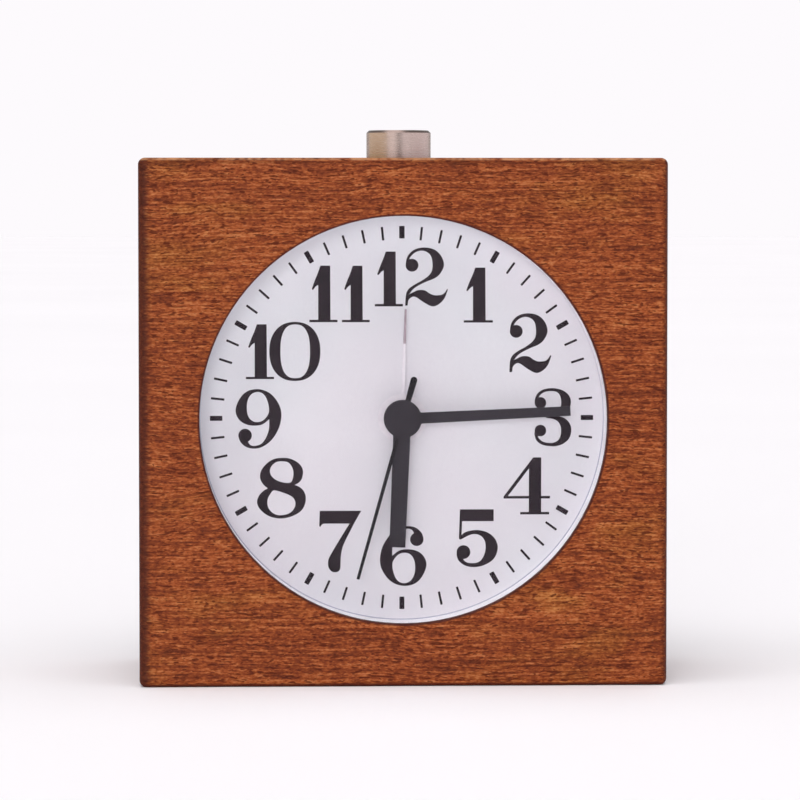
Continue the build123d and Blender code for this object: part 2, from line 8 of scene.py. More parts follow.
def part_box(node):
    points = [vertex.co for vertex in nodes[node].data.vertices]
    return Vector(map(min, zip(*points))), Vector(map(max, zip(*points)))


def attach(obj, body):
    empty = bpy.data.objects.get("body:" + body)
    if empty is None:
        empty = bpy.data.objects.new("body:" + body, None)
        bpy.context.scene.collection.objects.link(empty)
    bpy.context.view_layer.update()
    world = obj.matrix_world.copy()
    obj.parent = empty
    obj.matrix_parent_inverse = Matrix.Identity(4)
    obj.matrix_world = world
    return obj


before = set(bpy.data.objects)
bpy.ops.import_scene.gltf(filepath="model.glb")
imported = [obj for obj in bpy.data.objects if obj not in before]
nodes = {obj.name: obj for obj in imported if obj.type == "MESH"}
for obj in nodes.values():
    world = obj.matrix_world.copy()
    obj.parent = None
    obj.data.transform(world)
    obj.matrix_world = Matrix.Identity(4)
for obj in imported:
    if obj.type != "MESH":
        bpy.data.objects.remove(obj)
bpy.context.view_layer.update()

MM = 0.001
DIAL_Z = 42.9          # height of the dial axis, mm
DIAL_FACE_Y = -13.0    # printed face of the dial, mm


# ---------------------------------------------------------------- node helpers
def srgb(r, g, b):
    """Linear colour of an sRGB colour given in 0..255."""
    out = []
    for v in (r, g, b):
        v = v / 255.0
        out.append(v / 12.92 if v <= 0.04045 else ((v + 0.055) / 1.055) ** 2.4)
    return (out[0], out[1], out[2], 1.0)


class Mat:
    """A Principled material and the few node calls that every finish here uses."""

    def __init__(self, name, rough=0.5, metal=0.0, **sockets):
        self.m = bpy.data.materials.new(name)
        self.m.use_nodes = True
        self.nt = self.m.node_tree
        self.nt.nodes.clear()
        self.out = self.nt.nodes.new("ShaderNodeOutputMaterial")
        self.b = self.nt.nodes.new("ShaderNodeBsdfPrincipled")
        self.nt.links.new(self.b.outputs[0], self.out.inputs["Surface"])
        self.b.inputs["Roughness"].default_value = rough
        self.b.inputs["Metallic"].default_value = metal
        for k, v in sockets.items():
            self.b.inputs[k.replace("_", " ")].default_value = v
        self.co = self.nt.nodes.new("ShaderNodeTexCoord")
        self.obj = self.co.outputs["Object"]

    def set(self, socket, value):
        if isinstance(value, bpy.types.NodeSocket):
            self.nt.links.new(value, socket)
        else:
            socket.default_value = value

    def scale(self, vec, sx, sy, sz, loc=(0, 0, 0), rot=(0, 0, 0)):
        n = self.nt.nodes.new("ShaderNodeMapping")
        n.inputs["Scale"].default_value = (sx, sy, sz)
        n.inputs["Location"].default_value = loc
        n.inputs["Rotation"].default_value = rot
        self.set(n.inputs["Vector"], vec)
        return n.outputs[0]

    def noise(self, vec, scale=1.0, detail=2.0, rough=0.5, distort=0.0, colour=False):
        n = self.nt.nodes.new("ShaderNodeTexNoise")
        n.inputs["Scale"].default_value = scale
        n.inputs["Detail"].default_value = detail
        n.inputs["Roughness"].default_value = rough
        n.inputs["Distortion"].default_value = distort
        self.set(n.inputs["Vector"], vec)
        return n.outputs["Color" if colour else "Fac"]

    def voronoi(self, vec, scale=1.0, rand=1.0, feature="F1"):
        n = self.nt.nodes.new("ShaderNodeTexVoronoi")
        n.feature = feature
        n.inputs["Scale"].default_value = scale
        n.inputs["Randomness"].default_value = rand
        self.set(n.inputs["Vector"], vec)
        return n.outputs["Distance"]

    def math(self, op, a, b=0.0, clamp=False):
        n = self.nt.nodes.new("ShaderNodeMath")
        n.operation = op
        n.use_clamp = clamp
        self.set(n.inputs[0], a)
        self.set(n.inputs[1], b)
        return n.outputs[0]

    def vmath(self, op, a, b):
        n = self.nt.nodes.new("ShaderNodeVectorMath")
        n.operation = op
        self.set(n.inputs[0], a)
        self.set(n.inputs[1], b)
        return n.outputs["Vector"]

    def span(self, v, lo, hi, a=0.0, b=1.0, smooth=True):
        n = self.nt.nodes.new("ShaderNodeMapRange")
        n.interpolation_type = "SMOOTHSTEP" if smooth else "LINEAR"
        self.set(n.inputs["Value"], v)
        n.inputs["From Min"].default_value = lo
        n.inputs["From Max"].default_value = hi
        n.inputs["To Min"].default_value = a
        n.inputs["To Max"].default_value = b
        return n.outputs[0]

    def mix(self, fac, a, b, blend="MIX"):
        n = self.nt.nodes.new("ShaderNodeMix")
        n.data_type = "RGBA"
        n.blend_type = blend
        self.set(n.inputs["Factor"], fac)
        self.set(n.inputs[6], a)
        self.set(n.inputs[7], b)
        return n.outputs[2]

    def ramp(self, fac, stops):
        n = self.nt.nodes.new("ShaderNodeValToRGB")
        e = n.color_ramp.elements
        while len(e) < len(stops):
            e.new(0.5)
        for k, (p, c) in enumerate(stops):
            e[k].position = p
            e[k].color = c
        self.set(n.inputs["Fac"], fac)
        return n.outputs["Color"]

    def axes(self, vec=None):
        n = self.nt.nodes.new("ShaderNodeSeparateXYZ")
        self.set(n.inputs[0], vec if vec is not None else self.obj)
        return n.outputs[0], n.outputs[1], n.outputs[2]

    def join(self, x, y, z):
        n = self.nt.nodes.new("ShaderNodeCombineXYZ")
        for k, v in enumerate((x, y, z)):
            self.set(n.inputs[k], v)
        return n.outputs[0]

    def colour(self, v):
        self.set(self.b.inputs["Base Color"], v)

    def rough(self, v):
        self.set(self.b.inputs["Roughness"], v)

    def bump(self, height, distance, strength=1.0, then=None):
        n = self.nt.nodes.new("ShaderNodeBump")
        n.inputs["Distance"].default_value = distance
        n.inputs["Strength"].default_value = strength
        self.set(n.inputs["Height"], height)
        if then is not None:
            self.set(n.inputs["Normal"], then)
        self.nt.links.new(n.outputs[0], self.b.inputs["Normal"])
        return n.outputs[0]


# ---------------------------------------------------------------- finishes
def make_wood():
    """Oiled reddish-brown hardwood, long grain along X, end grain on the two sides."""
    w = Mat("wood_oiled_hardwood", rough=0.5)
    w.b.inputs["Specular IOR Level"].default_value = 0.13
    x, y, z = w.axes()
    # slow wander of the grain lines, mostly up and down
    sway = w.noise(w.scale(w.obj, 22, 30, 40), detail=2.0, rough=0.55)
    sway2 = w.noise(w.scale(w.obj, 80, 60, 120), detail=1.0)
    dz = w.math("ADD", w.math("MULTIPLY", w.math("SUBTRACT", sway, 0.5), 0.0042),
                w.math("MULTIPLY", w.math("SUBTRACT", sway2, 0.5), 0.0009))
    grain = w.join(x, w.math("ADD", y, dz), w.math("ADD", z, dz))
    bands = w.noise(w.scale(grain, 6, 260, 260), detail=2.0, rough=0.6)             # growth bands
    large = w.noise(w.scale(w.obj, 18, 20, 34, loc=(3.1, 1.7, 0.4)), detail=1.5)    # large golden and red areas
    small = w.noise(w.scale(grain, 70, 120, 210, loc=(1.3, 4.1, 2.2)), detail=2.0, rough=0.6)
    patch = w.math("ADD", w.math("MULTIPLY", large, 0.55), w.math("MULTIPLY", small, 0.45))
    lines = w.noise(w.scale(grain, 36, 2700, 2700, loc=(7, 3, 1)), detail=1.0, rough=0.5)   # long thin lines
    streak = w.noise(w.scale(grain, 130, 2400, 2400), detail=1.5, rough=0.6)        # fibre bundles
    fibre = w.noise(w.scale(grain, 480, 3300, 3300, loc=(5, 2, 9)), detail=1.0, rough=0.6)
    short = w.noise(w.scale(grain, 1500, 3700, 3700, loc=(2, 7, 5)), detail=1.0, rough=0.6)
    pores = w.noise(w.scale(grain, 640, 3300, 3300, loc=(9, 4, 2)), detail=0.5, rough=0.5)
    pores2 = w.noise(w.scale(grain, 1400, 4000, 4000, loc=(6, 1, 8)), detail=0.5, rough=0.5)
    figure = w.noise(w.scale(w.obj, 230, 300, 520, loc=(1, 8, 3)), detail=2.0, rough=0.6, distort=0.3)
    # the figure shows most in the lower part of the block
    low = w.span(z, 0.014, 0.030, 1.0, 0.30)
    fig = w.math("MULTIPLY", w.math("SUBTRACT", figure, 0.5), low)

    t = w.math("ADD", w.math("MULTIPLY", w.math("SUBTRACT", bands, 0.5), 0.30), 0.5)
    t = w.math("ADD", t, w.math("MULTIPLY", w.math("SUBTRACT", lines, 0.5), 0.82))
    t = w.math("ADD", t, w.math("MULTIPLY", w.math("SUBTRACT", streak, 0.5), 0.60))
    t = w.math("ADD", t, w.math("MULTIPLY", w.math("SUBTRACT", fibre, 0.5), 0.84))
    t = w.math("ADD", t, w.math("MULTIPLY", w.math("SUBTRACT", short, 0.5), 1.05))
    t = w.math("ADD", t, w.math("MULTIPLY", fig, 0.45), clamp=True)
    base = w.ramp(t, [(0.02, WOOD_DARK), (0.45, WOOD_MID), (0.60, WOOD_LIGHT), (1.0, WOOD_PALE)])
    golden = w.ramp(t, [(0.02, WOOD_GOLD_D), (0.50, WOOD_GOLD), (1.0, WOOD_GOLD_L)])
    col = w.mix(w.span(patch, 0.47, 0.60, 0.0, 0.62), base, golden)
    dark = w.math("MAXIMUM", w.span(pores, 0.62, 0.70), w.math("MULTIPLY", w.span(pores2, 0.63, 0.71), 0.9))
    col = w.mix(w.math("MULTIPLY", dark, 0.85), col, WOOD_PORE)
    # end grain on the two sides takes more oil and is darker. The band also runs over the rounded side edges as painted
    # shade, and is set 0.4 mm off centre so that it is wider on the left
    ax = w.math("ABSOLUTE", w.math("SUBTRACT", x, 0.0004))
    band_wobble = w.math("MULTIPLY", w.math("SUBTRACT", streak, 0.5), 0.0016)       # the edge of the darker band wanders along the fibres
    end = w.span(w.math("ADD", ax, band_wobble), 0.04085, 0.04215)
    speck = w.noise(w.scale(w.obj, 900, 2100, 2100), detail=2.0, rough=0.65)
    # growth rings cut across: arcs about a pith well below the block
    pith = w.math("ADD", z, 0.055)
    reach = w.math("SQRT", w.math("ADD", w.math("MULTIPLY", y, y), w.math("MULTIPLY", pith, pith)))
    reach = w.math("ADD", reach, w.math("MULTIPLY", w.math("SUBTRACT", sway, 0.5), 0.007))
    rings = w.noise(w.join(w.math("MULTIPLY", reach, 1150), 0.0, 0.0), detail=2.0, rough=0.6)
    vessels = w.noise(w.scale(w.obj, 300, 2900, 2900, loc=(8, 5, 3)), detail=1.0, rough=0.5)
    et = w.math("ADD", w.math("MULTIPLY", w.math("SUBTRACT", rings, 0.5), 0.95), 0.5)
    et = w.math("ADD", et, w.math("MULTIPLY", w.math("SUBTRACT", speck, 0.5), 0.75), clamp=True)
    end_col = w.ramp(et, [(0.2, WOOD_END_D), (0.5, WOOD_END), (0.8, WOOD_END_L)])
    end_col = w.mix(w.math("MULTIPLY", w.span(vessels, 0.56, 0.63), 0.7), end_col, WOOD_END_D)
    # painted shade: the rounded edges next to the front and back faces are darkest
    rounded = w.math("MULTIPLY", w.span(w.math("ABSOLUTE", y), 0.0196, 0.0203), 0.7)
    end_col = w.mix(rounded, end_col, WOOD_END_D)
    # end grain colour on the sides, painted shade on the rounded side edges
    col = w.mix(w.math("MULTIPLY", end, 0.9), col, end_col)
    # painted shade: a dark line round the rim of the opening, where the inner wall of the lip lies in shade
    zr = w.math("SUBTRACT", z, DIAL_Z * MM)
    rad = w.math("SQRT", w.math("ADD", w.math("MULTIPLY", x, x), w.math("MULTIPLY", zr, zr)))
    rim_shade = w.math("MULTIPLY", w.span(rad, 0.03300, 0.03318, 1.0, 0.0), w.span(y, -0.0205, -0.0200, 1.0, 1.0))
    col = w.mix(w.math("MULTIPLY", rim_shade, 0.8), col, WOOD_RIM_SHADE)
    # painted highlight: the top edges are paler in broken streaks, where they catch the light
    highlight_breakup = w.noise(w.scale(w.obj, 420, 260, 60), detail=2.0, rough=0.65)
    near_face = w.span(w.math("ABSOLUTE", y), 0.0196, 0.0203)
    edge_t = w.math("MULTIPLY", w.span(z, 0.08450, 0.08472), near_face)
    top_edge_highlight = w.math("MULTIPLY", edge_t, w.span(highlight_breakup, 0.34, 0.62))
    col = w.mix(w.math("MULTIPLY", top_edge_highlight, 0.62), col, WOOD_EDGE_HIGHLIGHT)
    # painted shade: a dark line just under that edge and along the foot
    under = w.math("MULTIPLY", w.math("MULTIPLY", w.span(z, 0.0839, 0.0842), w.span(z, 0.0843, 0.0846, 1.0, 0.0)), near_face)
    foot_shade = w.span(z, 0.00035, 0.00072, 1.0, 0.0)
    painted_edge_shade = w.math("MAXIMUM", w.math("MULTIPLY", under, 0.45), w.math("MULTIPLY", foot_shade, 0.9))
    col = w.mix(painted_edge_shade, col, WOOD_PORE)
    w.colour(col)
    r = w.math("ADD", w.math("MULTIPLY", dark, 0.2), w.math("ADD", w.math("MULTIPLY", fibre, 0.22), 0.38))
    w.rough(w.math("MINIMUM", r, 0.85))
    h = w.math("SUBTRACT", w.math("ADD", w.math("MULTIPLY", fibre, 0.6), w.math("MULTIPLY", streak, 0.4)), w.math("MULTIPLY", dark, 0.9))
    w.bump(h, 0.00010, 0.5)
    return w.m


WOOD_DARK = srgb(82, 30, 8)
WOOD_MID = srgb(132, 60, 22)
WOOD_LIGHT = srgb(155, 76, 32)
WOOD_PALE = srgb(189, 116, 64)
WOOD_GOLD_D = srgb(86, 43, 9)
WOOD_GOLD = srgb(141, 75, 24)
WOOD_GOLD_L = srgb(189, 125, 59)
WOOD_PORE = srgb(80, 27, 8)
WOOD_END_D = srgb(54, 17, 10)
WOOD_END = srgb(112, 46, 24)
WOOD_END_L = srgb(150, 76, 42)
WOOD_RIM_SHADE = srgb(67, 28, 26)
WOOD_EDGE_HIGHLIGHT = srgb(225, 165, 118)


def make_plastic(name, colour, rough=0.5, grain=900.0, depth=0.00002, vary=0.06, spec=0.5):
    """Moulded plastic: fine moulded grain in the bump, slow changes of tone and gloss."""
    p = Mat(name, rough=rough)
    p.b.inputs["Specular IOR Level"].default_value = spec
    slow = p.noise(p.scale(p.obj, 60, 60, 60), detail=3.0, rough=0.6)
    fine = p.noise(p.scale(p.obj, grain, grain, grain), detail=2.0, rough=0.6)
    dark = tuple(c * (1 - vary) for c in colour[:3]) + (1.0,)
    light = tuple(min(1.0, c * (1 + vary)) for c in colour[:3]) + (1.0,)
    t = p.math("ADD", p.math("MULTIPLY", slow, 0.7), p.math("MULTIPLY", fine, 0.3))
    p.colour(p.ramp(t, [(0.3, dark), (0.7, light)]))
    p.rough(p.span(t, 0.25, 0.75, rough - 0.06, rough + 0.08, smooth=False))
    p.bump(fine, depth, 0.5)
    return p.m


def make_metal(name, colour, rough=0.3, lines=None, vary=0.08, aniso=0.0):
    """Metal with fine tool marks. lines gives the three scales of the marks."""
    p = Mat(name, rough=rough, metal=1.0)
    p.b.inputs["Anisotropic"].default_value = aniso
    marks = p.noise(p.scale(p.obj, *(lines or (2500, 2500, 2500))), detail=3.0, rough=0.7)
    slow = p.noise(p.scale(p.obj, 150, 150, 150), detail=3.0, rough=0.6)
    dark = tuple(c * (1 - vary) for c in colour[:3]) + (1.0,)
    light = tuple(min(1.0, c * (1 + vary)) for c in colour[:3]) + (1.0,)
    p.colour(p.ramp(p.math("ADD", p.math("MULTIPLY", slow, 0.5), p.math("MULTIPLY", marks, 0.5)), [(0.3, dark), (0.7, light)]))
    p.rough(p.span(marks, 0.3, 0.7, rough - 0.07, rough + 0.09, smooth=False))
    p.bump(marks, 0.00001, 0.5)
    return p.m


def make_dial():
    """Matt printed card with a faint tooth and slow changes of tone."""
    p = Mat("dial_card", rough=0.6)
    p.b.inputs["Specular IOR Level"].default_value = 0.25
    slow = p.noise(p.scale(p.obj, 45, 45, 45), detail=2.0, rough=0.5)
    tooth = p.noise(p.scale(p.obj, 2600, 2600, 2600), detail=2.0, rough=0.65)
    cool = p.noise(p.scale(p.obj, 30, 30, 30, loc=(4, 1, 7)), detail=1.0)
    a = p.mix(p.span(cool, 0.35, 0.65), srgb(225, 221, 227), srgb(222, 222, 227))
    t = p.math("ADD", p.math("MULTIPLY", slow, 0.6), p.math("MULTIPLY", tooth, 0.4))
    card = p.mix(p.span(t, 0.35, 0.68), p.mix(1.0, a, srgb(247, 246, 247), blend="MULTIPLY"), a)
    # fine shadow line where the card meets the white wall
    x, y, z = p.axes()
    zr = p.math("SUBTRACT", z, DIAL_Z * MM)
    rad = p.math("SQRT", p.math("ADD", p.math("MULTIPLY", x, x), p.math("MULTIPLY", zr, zr)))
    low = p.span(z, 0.036, 0.056, 0.8, 0.15)
    p.colour(p.mix(p.math("MULTIPLY", p.span(rad, 0.03268, 0.03276), low), card, srgb(150, 151, 171)))
    p.rough(p.span(tooth, 0.3, 0.7, 0.52, 0.68, smooth=False))
    p.bump(tooth, 0.000008, 0.4)
    return p.m


def make_ink(name, colour, edge):
    """Screen-printed ink: slightly uneven, with small pinholes of lighter tone."""
    p = Mat(name, rough=0.5)
    p.b.inputs["Specular IOR Level"].default_value = 0.1
    slow = p.noise(p.scale(p.obj, 260, 260, 260), detail=3.0, rough=0.6)
    fine = p.noise(p.scale(p.obj, 5200, 5200, 5200), detail=2.0, rough=0.6)
    t = p.math("ADD", p.math("MULTIPLY", slow, 0.75), p.math("MULTIPLY", fine, 0.25))
    p.colour(p.ramp(t, [(0.32, edge), (0.62, colour)]))
    p.rough(p.span(fine, 0.3, 0.7, 0.42, 0.60, smooth=False))
    p.bump(fine, 0.000005, 0.4)
    return p.m


def make_paint(name, colour, rough=0.4, vary=0.1, spec=0.4):
    """Thin sprayed paint on sheet metal: faint orange peel."""
    p = Mat(name, rough=rough)
    p.b.inputs["Specular IOR Level"].default_value = spec
    peel = p.noise(p.scale(p.obj, 1700, 1700, 1700), detail=1.0, rough=0.4)
    slow = p.noise(p.scale(p.obj, 120, 120, 120), detail=2.0)
    dark = tuple(c * (1 - vary) for c in colour[:3]) + (1.0,)
    light = tuple(min(1.0, c * (1 + vary)) for c in colour[:3]) + (1.0,)
    p.colour(p.ramp(slow, [(0.3, dark), (0.7, light)]))
    p.rough(p.span(peel, 0.3, 0.7, rough - 0.05, rough + 0.07, smooth=False))
    p.bump(peel, 0.000006, 0.4)
    return p


def make_black_hand():
    """Matt black paint. The thin pointer of the second hand, in front of the others, is the darkest."""
    p = make_paint("black_hand_paint", srgb(50, 44, 51), rough=0.5, vary=0.12, spec=0.1)
    x, y, z = p.axes()
    zr = p.math("SUBTRACT", z, DIAL_Z * MM)
    rad = p.math("SQRT", p.math("ADD", p.math("MULTIPLY", x, x), p.math("MULTIPLY", zr, zr)))
    thin = p.math("MULTIPLY", p.math("SUBTRACT", 1.0, p.span(y, -0.01680, -0.01660)), p.span(rad, 0.0031, 0.0034))
    slow = p.noise(p.scale(p.obj, 120, 120, 120), detail=2.0)
    paint = p.ramp(slow, [(0.3, srgb(42, 37, 43)), (0.7, srgb(52, 47, 54))])
    deep = p.ramp(slow, [(0.3, srgb(22, 18, 23)), (0.7, srgb(29, 25, 30))])
    p.colour(p.mix(thin, paint, deep))
    return p.m


def make_alarm_hand():
    """Painted pale, with a grey-mauve tip on its last third."""
    p = make_paint("alarm_hand_paint", srgb(226, 219, 226), rough=0.45, vary=0.03)
    x, y, z = p.axes()
    a = math.radians(1.8)
    # distance along the hand from the axis
    r = p.math("ADD", p.math("MULTIPLY", x, math.sin(a)), p.math("MULTIPLY", p.math("SUBTRACT", z, DIAL_Z * MM), math.cos(a)))
    tip = p.span(r, 0.0119, 0.0123)
    fine = p.noise(p.scale(p.obj, 900, 900, 900), detail=2.0)
    pale = p.ramp(fine, [(0.3, srgb(220, 212, 220)), (0.7, srgb(231, 225, 231))])
    mauve = p.ramp(fine, [(0.3, srgb(140, 122, 131)), (0.7, srgb(160, 141, 151))])
    p.colour(p.mix(tip, pale, mauve))
    return p.m


def make_lens():
    """Clear flat acrylic. Shadow rays pass straight through it."""
    p = Mat("clear_acrylic", rough=0.03, IOR=1.15)   # coated: hardly any reflection
    p.b.inputs["Transmission Weight"].default_value = 1.0
    haze = p.noise(p.scale(p.obj, 220, 220, 220), detail=2.0)
    p.rough(p.span(haze, 0.3, 0.7, 0.0, 0.012, smooth=False))
    p.colour(p.ramp(haze, [(0.3, (0.975, 0.98, 0.985, 1)), (0.7, (0.99, 0.99, 0.995, 1))]))
    clear = p.nt.nodes.new("ShaderNodeBsdfTransparent")
    clear.inputs[0].default_value = (0.97, 0.97, 0.975, 1)
    path = p.nt.nodes.new("ShaderNodeLightPath")
    mix = p.nt.nodes.new("ShaderNodeMixShader")
    p.nt.links.new(path.outputs["Is Shadow Ray"], mix.inputs[0])
    p.nt.links.new(p.b.outputs[0], mix.inputs[1])
    p.nt.links.new(clear.outputs[0], mix.inputs[2])
    p.nt.links.new(mix.outputs[0], p.out.inputs["Surface"])
    return p.m


def make_button():
    """Turned and anodised aluminium: very fine lathe lines round the side, rings on the flat top."""
    p = Mat("turned_champagne_metal", rough=0.25, metal=1.0)
    p.b.inputs["Anisotropic"].default_value = 0.25
    x, y, z = p.axes()
    turn = p.noise(p.join(p.math("MULTIPLY", x, 60), p.math("MULTIPLY", y, 60), p.math("MULTIPLY", z, 11000)), detail=2.0, rough=0.5)
    rad = p.math("SQRT", p.math("ADD", p.math("MULTIPLY", x, x), p.math("MULTIPLY", y, y)))
    face = p.noise(p.join(p.math("MULTIPLY", rad, 16000), 0.0, 0.0), detail=2.0, rough=0.6)
    top = p.span(z, 0.08925, 0.08968)
    marks = p.math("ADD", p.math("MULTIPLY", turn, p.math("SUBTRACT", 1.0, top)), p.math("MULTIPLY", face, top))
    slow = p.noise(p.scale(p.obj, 240, 240, 90), detail=2.0)
    t = p.math("ADD", p.math("MULTIPLY", marks, 0.15), p.math("MULTIPLY", slow, 0.85))
    col = p.ramp(t, [(0.3, BUTTON_D), (0.7, BUTTON_L)])
    # painted shade: the chamfer round the top is darker
    brim_shade = p.math("MULTIPLY", p.span(z, 0.08923, 0.08935), p.span(rad, 0.00480, 0.00493))
    p.colour(p.mix(p.math("MULTIPLY", brim_shade, 0.9), col, BUTTON_BRIM_SHADE))
    p.rough(p.span(marks, 0.3, 0.7, 0.24, 0.29, smooth=False))
    p.bump(marks, 0.0000003, 0.3)
    return p.m


BUTTON_D = srgb(203, 181, 169)
BUTTON_L = srgb(218, 198, 189)
BUTTON_BRIM_SHADE = srgb(126, 109, 103)


def make_board():
    """Phenolic board with a printed pattern of tracks under green-brown lacquer."""
    p = Mat("printed_board", rough=0.42)
    x, y, z = p.axes()
    cell = p.voronoi(p.scale(p.obj, 420, 420, 420), feature="DISTANCE_TO_EDGE")
    track = p.span(cell, 0.10, 0.13, 1.0, 0.0)
    fibre = p.noise(p.scale(p.obj, 900, 900, 3200), detail=2.0)
    base = p.ramp(fibre, [(0.3, srgb(70, 66, 28)), (0.7, srgb(96, 88, 40))])
    p.colour(p.mix(p.math("MULTIPLY", track, 0.8), base, srgb(40, 92, 52)))
    p.rough(p.span(fibre, 0.3, 0.7, 0.34, 0.5, smooth=False))
    p.bump(track, 0.00002, 0.4)
    return p.m


def make_winding():
    """Enamelled copper wire wound on a bobbin along X: 0.12 mm turns."""
    p = Mat("wound_copper", rough=0.35, metal=0.85)
    x, y, z = p.axes()
    turns = p.math("SINE", p.math("MULTIPLY", x, 2 * math.pi / 0.00024))
    n = p.noise(p.scale(p.obj, 500, 500, 500), detail=3.0)
    t = p.math("ADD", p.math("MULTIPLY", turns, 0.22), n)
    p.colour(p.ramp(t, [(0.25, srgb(120, 56, 28)), (0.75, srgb(206, 118, 70))]))
    p.rough(p.span(n, 0.3, 0.7, 0.28, 0.42, smooth=False))
    p.bump(turns, 0.00003, 0.6)
    return p.m


def make_battery():
    """Plain cell: dark wrap with a warm metallic shoulder at one end and bare steel at both."""
    p = Mat("cell_wrap", rough=0.32)
    lo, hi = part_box("battery")
    x, y, z = p.axes()
    n = p.noise(p.scale(p.obj, 300, 300, 300), detail=3.0)
    wrap = p.ramp(n, [(0.3, srgb(26, 27, 30)), (0.7, srgb(38, 39, 43))])
    gold = p.ramp(n, [(0.3, srgb(168, 112, 58)), (0.7, srgb(196, 142, 84))])
    steel = p.ramp(n, [(0.3, srgb(170, 171, 172)), (0.7, srgb(205, 206, 208))])
    u = p.span(x, lo.x, hi.x, 0.0, 1.0, smooth=False)
    if BATTERY_PLUS_LEFT:
        u = p.math("SUBTRACT", 1.0, u)
    col = p.mix(p.span(u, 0.70, 0.703), wrap, gold)
    ends = p.math("ADD", p.span(u, 0.968, 0.970), p.span(u, 0.004, 0.006, 1.0, 0.0), clamp=True)
    p.colour(p.mix(ends, col, steel))
    p.set(p.b.inputs["Metallic"], p.math("ADD", p.math("MULTIPLY", ends, 0.9), p.math("MULTIPLY", p.span(u, 0.70, 0.703), 0.6), clamp=True))
    p.rough(p.span(n, 0.3, 0.7, 0.26, 0.4, smooth=False))
    p.bump(n, 0.00002, 0.3)
    return p.m


BATTERY_PLUS_LEFT = False

finishes = {
    "wood": make_wood(),
    "clear_lens": make_lens(),
    "white_ring": make_plastic("white_moulding", srgb(250, 248, 252), rough=0.5, grain=2600, depth=0.000008, vary=0.02),
    "dial_face": make_dial(),
    "dial_ink": make_ink("printed_ink", srgb(36, 25, 33), srgb(28, 17, 25)),
    "black_hand": make_black_hand(),
    "pale_hand": make_alarm_hand(),
    "button_metal": make_button(),
    "steel": make_metal("bright_steel", srgb(196, 197, 200), rough=0.28, lines=(400, 4000, 4000)),
    "brass": make_metal("plain_brass", srgb(206, 168, 92), rough=0.27, lines=(3000, 3000, 3000)),
    "copper": make_winding(),
    "natural_plastic": make_plastic("natural_acetal", srgb(232, 231, 222), rough=0.42, grain=1800, depth=0.00001, vary=0.03),
    "gear_plastic": make_plastic("gear_acetal", srgb(236, 233, 218), rough=0.38, grain=2200, depth=0.000008, vary=0.04),
    "black_plastic": make_plastic("black_abs", srgb(30, 30, 32), rough=0.52, grain=3400, depth=0.00004, vary=0.12, spec=0.45),
    "knob_plastic": make_plastic("knob_abs", srgb(44, 44, 46), rough=0.42, grain=1500, depth=0.00001, vary=0.1),
    "board": make_board(),
    "magnet": make_plastic("bonded_magnet", srgb(52, 50, 50), rough=0.6, grain=2600, depth=0.00003, vary=0.15),
    "cell_label": make_battery(),
}

for name, o in nodes.items():
    slot = (o.data.materials[0].name if o.data.materials else "").split(".")[0]
    if slot not in finishes:
        raise ValueError(f"{name} has no finish for {slot!r}")
    o.data.materials.clear()
    o.data.materials.append(finishes[slot])


# ---------------------------------------------------------------- print on the dial
def smooth(points, steps=5):
    """Closed outline through the points. A point with a third value is a corner."""
    n = len(points)
    out = []
    for k in range(n):
        p0, p1, p2, p3 = (points[(k + d) % n] for d in (-1, 0, 1, 2))
        c1, c2 = len(p1) > 2, len(p2) > 2
        out.append((p1[0], p1[1]))
        if c1 and c2:
            continue
        d = (p2[0] - p1[0], p2[1] - p1[1])
        t1 = d if c1 else ((p2[0] - p0[0]) / 2, (p2[1] - p0[1]) / 2)
        t2 = d if c2 else ((p3[0] - p1[0]) / 2, (p3[1] - p1[1]) / 2)
        # tangents no longer than the chord, so that close points don't loop
        chord = math.hypot(*d)
        t1, t2 = ((t[0] * f, t[1] * f) for t, f in ((t, min(1.0, chord / max(1e-9, math.hypot(*t)))) for t in (t1, t2)))
        for j in range(1, steps):
            s = j / steps
            h00, h10 = 2 * s**3 - 3 * s**2 + 1, s**3 - 2 * s**2 + s
            h01, h11 = -2 * s**3 + 3 * s**2, s**3 - s**2
            out.append((h00 * p1[0] + h10 * t1[0] + h01 * p2[0] + h11 * t2[0],
                        h00 * p1[1] + h10 * t1[1] + h01 * p2[1] + h11 * t2[1]))
    return out


def spread(loop, gain):
    """The outline moved outwards by gain, mm: the printed ink spreads a little."""
    n = len(loop)
    turn = sum(loop[i][0] * loop[(i + 1) % n][1] - loop[(i + 1) % n][0] * loop[i][1] for i in range(n))
    side = gain if turn > 0 else -gain
    out = []
    for i in range(n):
        (ax, az), (bx, bz), (cx, cz) = loop[i - 1], loop[i], loop[(i + 1) % n]
        n1, n2 = (bz - az, ax - bx), (cz - bz, bx - cx)
        l1, l2 = max(1e-9, math.hypot(*n1)), max(1e-9, math.hypot(*n2))
        mx, mz = n1[0] / l1 + n2[0] / l2, n1[1] / l1 + n2[1] / l2
        m = max(0.8, math.hypot(mx, mz))
        out.append((bx + side * mx / m, bz + side * mz / m))
    return out


